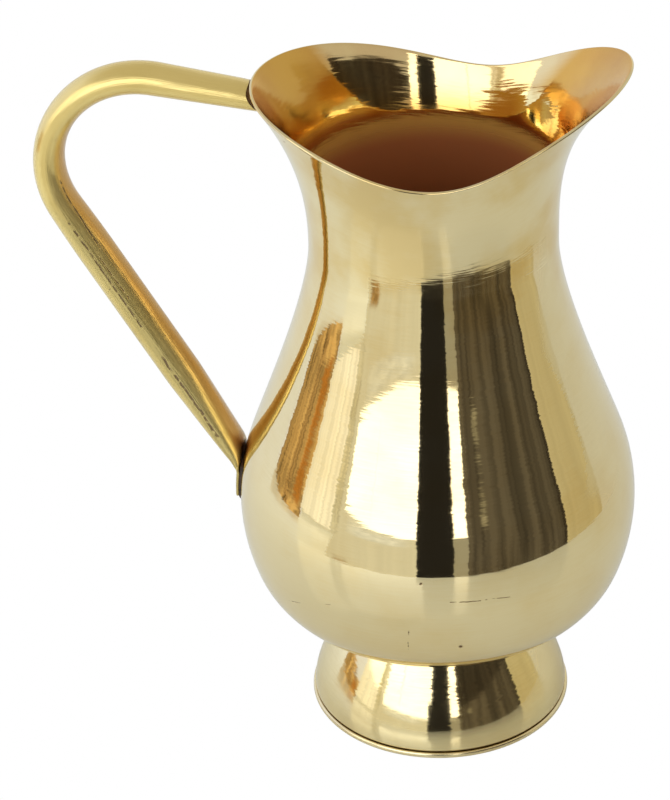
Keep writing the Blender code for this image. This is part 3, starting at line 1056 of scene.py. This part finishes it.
def makeBrass(look):
    material, tree, shader = newMaterial(look["name"])
    lines = linesOf(tree, look)
    stain = stainOf(tree, look)
    height = splitOf(tree, objectPlace(tree))[2]
    share = look["tarnishShare"]
    if look["neckTarnish"]:
        share = rampOf(tree, height, *look["neckTarnish"])
    brushed = times(tree, fromMiddle(tree, lines["Tone"]), look["brushedTone"])
    clouded = most(tree, plus(tree, times(tree, stain["Cloud"], share), brushed), 0.0)
    colour = blendOf(tree, clouded, look["colour"], look["tarnishColour"])
    if look["bellyReflectionColour"]:
        cosine, sine = splitOf(tree, turnedPlace(tree))[:2]
        # painted reflection: a dark stripe down the front of the leg
        front = times(
            tree, rampOf(tree, sine, *look["frontUpper"]), rampOf(tree, sine, *look["frontLower"]),
            rampOf(tree, cosine, *look["frontFace"]), rampOf(tree, height, *look["frontHeights"]),
            rampOf(tree, lines["Tone"], *look["frontTone"]))
        colour = blendOf(tree, front, colour, look["frontReflectionColour"])
        # painted reflection of the belly on the side of the handle that faces it
        colour = blendOf(tree, rampOf(tree, sine, *look["bellyReflectionSide"]), colour, look["bellyReflectionColour"])
    for centre, reach in look["heated"]:
        colour = blendOf(tree, spotOf(tree, centre, reach), colour, look["tintColour"])
    marksAndSeamShade = [stain["Pits"]]
    for start, end, width in look["scratches"]:
        mark = placeGroup(tree, scratch, {"Start": start, "End": end, "Width": width})
        marksAndSeamShade.append(mark["Mask"])
    for centre, reach in look["dents"]:
        marksAndSeamShade.append(spotOf(tree, centre, reach))
    # painted shade: the foot darker below this height, in the seam above the base ring
    if look["seamShadeTop"]:
        marksAndSeamShade.append(rampOf(tree, height, look["seamShadeTop"], look["seamShadeTop"] - look["seamShadeBlur"]))
    markAndSeamShade = most(tree, 0.0, *marksAndSeamShade)
    rough = plus(tree, times(tree, lines["Lines"], look["lineRoughness"]),
                 look["roughness"] - look["lineRoughness"] / 2, times(tree, markAndSeamShade, look["pitRoughness"]))
    drawn = times(tree, lines["Tone"], look["lineHeight"])
    relief = plus(tree, times(tree, markAndSeamShade, -look["pitDepth"]), drawn)
    feed(tree, shader, {
        "Base Color": blendOf(tree, markAndSeamShade, colour, look["pitAndShadeColour"]),
        "Metallic": look["metallic"],
        "Roughness": rough,
        "Normal": addNode(tree, "Bump", {"Distance": 1, "Height": relief, "Normal": lines["Normal"]})[0]})
    return material


# Inside the vessel the polish ends below the lip. Levels are heights above the throat.

insideLook = dict(
    colour=(0.82, 0.64, 0.31),
    satinColour=(0.71, 0.41, 0.09),
    insideHighlightColour=(0.97, 0.81, 0.38),  # painted highlight: bright patches low in the spout and by the handle
    glowFrom=0.0255,
    glowTop=0.0395,
    glowTilt=0.004,  # higher in the spout than by the handle
    glowRagged=0.006,
    glowBlur=0.004,
    glowShare=(0.26, 0.44),
    glowLean=0.26,  # in the spout only
    spoutShare=(0.55, 0.85),
    # painted shade: dark brown deep inside, from a little above the throat down
    deepShadeColour=(0.46, 0.16, 0.055),
    deepFrom=0.0200,
    deepBlur=0.0055,
    deepMetallic=0.35,
    dullLevels=(0.0285, 0.0215),
    uneven=0.0045,
    polishFrom=0.0268,  # at the sides
    polishRise=0.085,  # how much higher the polish begins at spout and handle
    polishPower=3.0,
    polishBlur=0.003,
    palerOver=4,  # blurs that the satin takes to turn into the polish's colour
    roughness=0.07,
    satinRoughness=0.15,
    deepRoughness=0.45,
    around=5.0,
    along=1300.0,
    swing=0.04,
    fray=5.0,
    wave=0.0,
    ripple=0.06,
    cloudScale=40.0,
    cloudStain=0.25,
    pitScale=200.0,
    pitShare=0.06,
    pitStain=0.8,
    leanLevels=(0.0225, 0.045, 0.32, 0.10),  # the polished sides are burnished further out
    leanBlur=0.0006,
    leanShare=(0.15, 0.60),  # none at spout and handle, all of it at the sides
)


def makeInsideBrass():
    look = insideLook
    material, tree, shader = newMaterial("insideBrass")
    lines = linesOf(tree, look)
    stain = stainOf(tree, look)
    cosine, sine = splitOf(tree, turnedPlace(tree))[:2]
    sideShare = times(tree, sine, sine)
    endShare = minus(tree, 1.0, sideShare)
    level = minus(tree, splitOf(tree, objectPlace(tree))[2], throatHeight)
    # painted shade deep inside the vessel
    deep = rampOf(tree, level, look["deepFrom"] + look["deepBlur"], look["deepFrom"] - look["deepBlur"])
    level = plus(tree, level, times(tree, fromMiddle(tree, lines["Lines"]), look["uneven"]))
    higher = times(tree, mathOf(tree, "POWER", endShare, look["polishPower"]), look["polishRise"])
    above = minus(tree, level, higher, look["polishFrom"])
    blur = look["polishBlur"]
    polish = rampOf(tree, above, -blur / 2, blur)
    paler = rampOf(tree, above, -blur, look["palerOver"] * blur)
    colour = blendOf(tree, paler, look["satinColour"], look["colour"])
    ragged = plus(tree, level, times(tree, stain["Cloud"], look["glowRagged"]))
    ragged = minus(tree, ragged, times(tree, cosine, look["glowTilt"]))
    # painted highlight: bright patches low in the spout and by the handle
    glowing = times(
        tree, rampOf(tree, ragged, look["glowTop"], look["glowTop"] - look["glowBlur"]),
        rampOf(tree, level, look["glowFrom"], look["glowFrom"] + look["glowBlur"]),
        rampOf(tree, endShare, *look["glowShare"]))
    colour = blendOf(tree, glowing, colour, look["insideHighlightColour"])
    spotted = most(tree, times(tree, stain["Cloud"], look["cloudStain"]),
                   times(tree, stain["Pits"], look["pitStain"]), deep)
    dull = times(tree, rampOf(tree, level, *look["dullLevels"]), minus(tree, 1.0, glowing))
    smooth = most(tree, polish, glowing)
    rough = rampOf(tree, smooth, 0.0, 1.0, look["satinRoughness"], look["roughness"])
    lean = times(
        tree, rampOf(tree, level, *look["leanLevels"]),
        rampOf(tree, above, -look["leanBlur"], look["leanBlur"]), rampOf(tree, sideShare, *look["leanShare"]))
    inSpout = times(tree, glowing, rampOf(tree, cosine, *look["spoutShare"]), look["glowLean"])
    leaning = joinOf(tree, 0.0, 0.0, plus(tree, lean, inSpout))
    feed(tree, shader, {
        "Base Color": blendOf(tree, spotted, colour, look["deepShadeColour"]),
        "Metallic": rampOf(tree, most(tree, deep, dull), 0.0, 1.0, 1.0, look["deepMetallic"]),
        "Roughness": rampOf(tree, deep, 0.0, 1.0, rough, look["deepRoughness"]),
        "Normal": vectorOf(tree, "NORMALIZE", vectorOf(tree, "ADD", lines["Normal"], leaning))})
    return material


# Filler: dull and oxidised at the lip and foot, burnt black at the tail

plainFiller = dict(cloudScale=300.0, pitScale=900.0, pitShare=0.2, rougher=0.15)
fillerLooks = dict(
    dullFiller=dict(
        plainFiller, colour=(0.10, 0.05, 0.02), patch=(0.24, 0.13, 0.06),
        metallic=0.8, roughness=0.36, lumps=0.00025),
    burntFiller=dict(
        plainFiller, colour=(0.020, 0.014, 0.010), patch=(0.10, 0.05, 0.025),
        metallic=0.3, roughness=0.55, lumps=0.0003),
)


def makeFillerFinish(name):
    look = fillerLooks[name]
    material, tree, shader = newMaterial(name)
    stain = stainOf(tree, look)
    cloud = stain["Cloud"]
    relief = times(tree, minus(tree, cloud, stain["Pits"]), look["lumps"])
    feed(tree, shader, {
        "Base Color": blendOf(tree, cloud, look["colour"], look["patch"]),
        "Metallic": look["metallic"],
        "Roughness": rampOf(tree, cloud, 0.0, 1.0, look["roughness"] + look["rougher"], look["roughness"]),
        "Normal": addNode(tree, "Bump", {"Distance": 1, "Height": relief})[0]})
    return material


# Floor: plain white to the camera, pale and glossy to the brass, with painted light on its left

floorLook = dict(
    span=6.0,
    nearRadius=0.346,  # in front it ends in a round edge
    edgeBlur=0.008,
    backEdge=(0.25, 0.08),  # behind the jug it has no edge
    cornerSlope=1.28,  # nor to the left of this line, metres across a metre forward
    leftEnd=0.72,  # but it ends far to the left, between two lines from the jug
    leftNear=3.49,
    leftBack=0.20,
    leftPart=(-0.05, -0.40),
    colour=(0.80, 0.84, 0.86),
    # painted light: the floor brighter and cooler to the left of the jug
    litLeftColour=(0.93, 0.98, 1.0),
    gloss=0.12,
)


def makeFloor():
    look = floorLook
    selectOnly(None)
    bpy.ops.mesh.primitive_plane_add(size=look["span"])
    paleFloor = namePiece("paleFloor")
    material, tree, shader = newMaterial("paleFloor")
    x, y = splitOf(tree, objectPlace(tree))[:2]
    x = minus(tree, x, axisX)
    colour = blendOf(tree, rampOf(tree, x, *look["leftPart"]), look["colour"], look["litLeftColour"])
    glossy = feed(tree, shader, {"Base Color": colour, "Roughness": look["gloss"]})[0]
    blur = look["edgeBlur"]
    fromAxis = vectorOf(tree, "LENGTH", joinOf(tree, x, y, 0.0))
    corner = minus(tree, x, times(tree, y, look["cornerSlope"]))
    beyond = times(
        tree, rampOf(tree, fromAxis, look["nearRadius"], look["nearRadius"] + blur),
        rampOf(tree, y, *look["backEdge"]), rampOf(tree, corner, -blur, blur))
    nearLine = minus(tree, x, times(tree, y, look["leftNear"]))
    backLine = plus(tree, y, times(tree, x, look["leftBack"]))
    farLeft = times(
        tree, rampOf(tree, x, blur - look["leftEnd"], -look["leftEnd"]),
        rampOf(tree, nearLine, blur, -blur), rampOf(tree, backLine, blur, -blur))
    rays = addNode(tree, "LightPath", {})
    beyond = times(tree, most(tree, beyond, farLeft), rays["Is Glossy Ray"])
    shown = mixOf(tree, rays["Is Camera Ray"], glossy, addNode(tree, "Emission", {})[0])
    surface = mixOf(tree, beyond, shown, addNode(tree, "BsdfTransparent", {})[0])
    feed(tree, tree.nodes["Material Output"], {"Surface": surface})
    paleFloor.data.materials.append(material)
    print("floor laid")


# Cards round the jug, for the brass to reflect: turn in degrees from the front, heights in metres

cardDistance = 1.05
cardDetail = 4.0
streakLeast = 0.1
streakMost = 1.35
roomCards = (
    dict(name="brightCard", turn=(-49, -4.5), height=(0.165, 0.98), glow=2.4, tint=(0.93, 0.97, 1.05)),
    dict(name="thinUpright", turn=(-31.6, -30.6), height=(0.165, 0.95), glow=1.08, tint=(1, 1, 0.92),
         soft=0.3, back=-0.01),
    dict(name="paleStrip", turn=(-49, -4.5), height=(0.07, 0.17), glow=0.92, tint=(0.95, 1, 1.06),
         grain=(7, 5), streak=0.5, soft=0.3, back=0.01),
    dict(name="leftBright", turn=(-75, -54), height=(0.03, 0.92), glow=1.15, tint=(1, 1, 0.98),
         grain=(12, 0.5), streak=0.45),
    dict(name="uprightCard", turn=(-54.5, -48.5), height=(-0.05, 0.92), glow=0.72, tint=(1, 0.95, 0.74),
         grain=(3, 30), streak=1.6, soft=0.3, back=-0.01),
    dict(name="highPane", turn=(-75, -49), height=(0.22, 0.98), glow=2.0, tint=(0.97, 0.99, 1), back=-0.02),
    dict(name="frontCard", turn=(-76, -4), height=(-0.75, 1.00), glow=0.80, tint=(1, 1, 0.92),
         grain=(12, 0.3), streak=0.16, back=0.06),
    dict(name="lowFrontCard", turn=(-60, -5), height=(-0.75, -0.475), glow=0.58, tint=(1, 0.90, 0.60),
         grain=(8, 2), streak=0.8, back=-0.03),
    dict(name="lowTanCard", turn=(-53, -42), height=(-0.60, -0.15), glow=0.45, tint=(1, 0.66, 0.30),
         grain=(5, 3), streak=1.0, soft=0.3, back=-0.02),
    dict(name="tanCard", turn=(-101.5, -74), height=(-0.10, 0.105), glow=0.66, tint=(1, 0.67, 0.29),
         grain=(5, 3), streak=2.2, soft=0.03),
    dict(name="orangeCard", turn=(-84, -76), height=(0.005, 0.08), glow=0.52, tint=(1, 0.43, 0.09),
         grain=(3, 5), streak=0.8, soft=0.3, back=-0.01),
    dict(name="brownCard", turn=(-91, -85), height=(-0.09, 0.09), glow=0.46, tint=(1, 0.64, 0.27),
         grain=(3, 9), streak=2.6, soft=0.3, back=-0.02),
    dict(name="tanEdge", turn=(-101.5, -93), height=(-0.10, 0.105), glow=0.48, tint=(1, 0.66, 0.28),
         grain=(4, 8), streak=2.0, back=-0.01),
    dict(name="leftCard", turn=(-126, -74), height=(-0.75, 1.00), glow=1.0, tint=(0.93, 1, 1.26), back=0.12),
    dict(name="highBright", turn=(-4.5, -1.5), height=(0.31, 0.98), glow=2.4, tint=(0.93, 0.97, 1.05)),
    dict(name="darkCard", turn=(-4.5, 15), height=(-0.75, 0.31), glow=0.022, tint=(1, 0.95, 0.95)),
    dict(name="highDark", turn=(-1.5, 15), height=(0.31, 0.80), glow=0.022, tint=(1, 0.95, 0.95)),
    dict(name="slitBright", turn=(15.5, 22.5), height=(0.18, 0.85), glow=2.5, tint=(1, 1, 1)),
    dict(name="slitLow", turn=(15, 23), height=(-0.75, 0.18), glow=0.40, tint=(1, 0.98, 0.86)),
    dict(name="oliveCard", turn=(23, 80.5), height=(-0.75, 0.30), glow=0.105, tint=(1, 0.88, 0.72),
         grain=(10, 0.6), streak=1.7),
    dict(name="oliveHigh", turn=(23, 80.5), height=(0.30, 0.75), glow=0.05, tint=(1, 0.85, 0.68),
         grain=(16, 0.5), streak=1.2),
    dict(name="oliveEdge", turn=(78.5, 80.5), height=(-0.30, 0.30), glow=0.045, tint=(1, 0.85, 0.68),
         back=-0.02),
    dict(name="oliveLight", turn=(30, 36), height=(0.19, 0.235), glow=0.34, tint=(1, 0.93, 0.72),
         grain=(2, 3), streak=1.5, soft=0.4, back=-0.02),
    dict(name="beigeCard", turn=(80.5, 109), height=(-0.75, 0.55), glow=0.58, tint=(1, 0.91, 0.62),
         grain=(5, 0.3), streak=0.25),
)


def hangCard(card):
    away = cardDistance + card.get("back", 0)
    middle = math.radians(sum(card["turn"]) / 2)
    half = math.radians(card["turn"][1] - card["turn"][0]) / 2
    low, high = card["height"]
    selectOnly(None)
    bpy.ops.mesh.primitive_plane_add(
        size=1, rotation=(math.pi / 2, 0, middle),
        location=(axisX + away * math.sin(middle), -away * math.cos(middle), (low + high) / 2))
    panel = namePiece(card["name"])
    panel.scale = (2 * away * math.tan(half), high - low, 1)
    panel.visible_camera = False
    material, tree, shader = newMaterial(card["name"])
    tree.nodes.remove(shader)
    x, y = splitOf(tree, objectPlace(tree))[:2]
    strength = card["glow"]
    if "streak" in card:
        place = joinOf(tree, times(tree, x, card["grain"][0]), times(tree, y, card["grain"][1]), 0.0)
        streaks = times(tree, fromMiddle(tree, noiseOf(tree, place, 1.0, cardDetail)), 2 * card["streak"])
        streaks = most(tree, plus(tree, streaks, 1.0), streakLeast)
        strength = times(tree, mathOf(tree, "MINIMUM", streaks, streakMost), card["glow"])
    surface = addNode(tree, "Emission", {"Color": (*card["tint"], 1), "Strength": strength})[0]
    if "soft" in card:  # fades out towards its edges, half a side from the middle
        inX, inY = [rampOf(tree, mathOf(tree, "ABSOLUTE", way), 0.5, 0.5 - card["soft"]) for way in (x, y)]
        clear = addNode(tree, "BsdfTransparent", {})[0]
        surface = mixOf(tree, times(tree, inX, inY), clear, surface)
    feed(tree, tree.nodes["Material Output"], {"Surface": surface})
    panel.data.materials.append(material)


# World: white behind the jug, plain soft light on it

worldLook = dict(
    horizon=(0.68, 0.68, 0.66),
    leftSide=(0.90, 0.98, 1.22),
    leftRange=(-0.2, -0.9),
    behind=(0.86, 0.86, 0.83),
    behindRange=(0.75, 1.0),
    overhead=(0.60, 0.58, 0.53),
    overheadRange=(0.35, 0.85),
    onMatt=1.34,  # strength on matt surfaces
)


def makeWorld():
    look = worldLook
    world = bpy.data.worlds.new("studio")
    world.use_nodes = True
    tree = world.node_tree
    x, y, z = splitOf(tree, addNode(tree, "TexCoord", {})["Generated"])
    tone = blendOf(tree, rampOf(tree, x, *look["leftRange"]), look["horizon"], look["leftSide"])
    tone = blendOf(tree, rampOf(tree, y, *look["behindRange"]), tone, look["behind"])
    tone = blendOf(tree, rampOf(tree, z, *look["overheadRange"]), tone, look["overhead"])
    rays = addNode(tree, "LightPath", {})
    feed(tree, tree.nodes["Background"], {
        "Color": blendOf(tree, rays["Is Camera Ray"], tone, (1, 1, 1)),
        "Strength": rampOf(tree, rays["Is Diffuse Ray"], 0.0, 1.0, 1.0, look["onMatt"])})
    bpy.context.scene.world = world
    print("world set")


makeCamera()
vesselBrass = makeBrass(vesselLook)
dullFiller = makeFillerFinish("dullFiller")
makeVessel(vesselBrass, makeInsideBrass())
makeFoot(makeBrass(footLook))
makeBaseRing(makeBrass(ringLook))
makeFootFiller(dullFiller)
makeHandle(makeBrass(handleLook))
makeLipFiller(dullFiller)
makeTailFiller(makeFillerFinish("burntFiller"))
makeFloor()
for card in roomCards:
    hangCard(card)
makeWorld()
bpy.context.scene.view_settings.view_transform = "Standard"
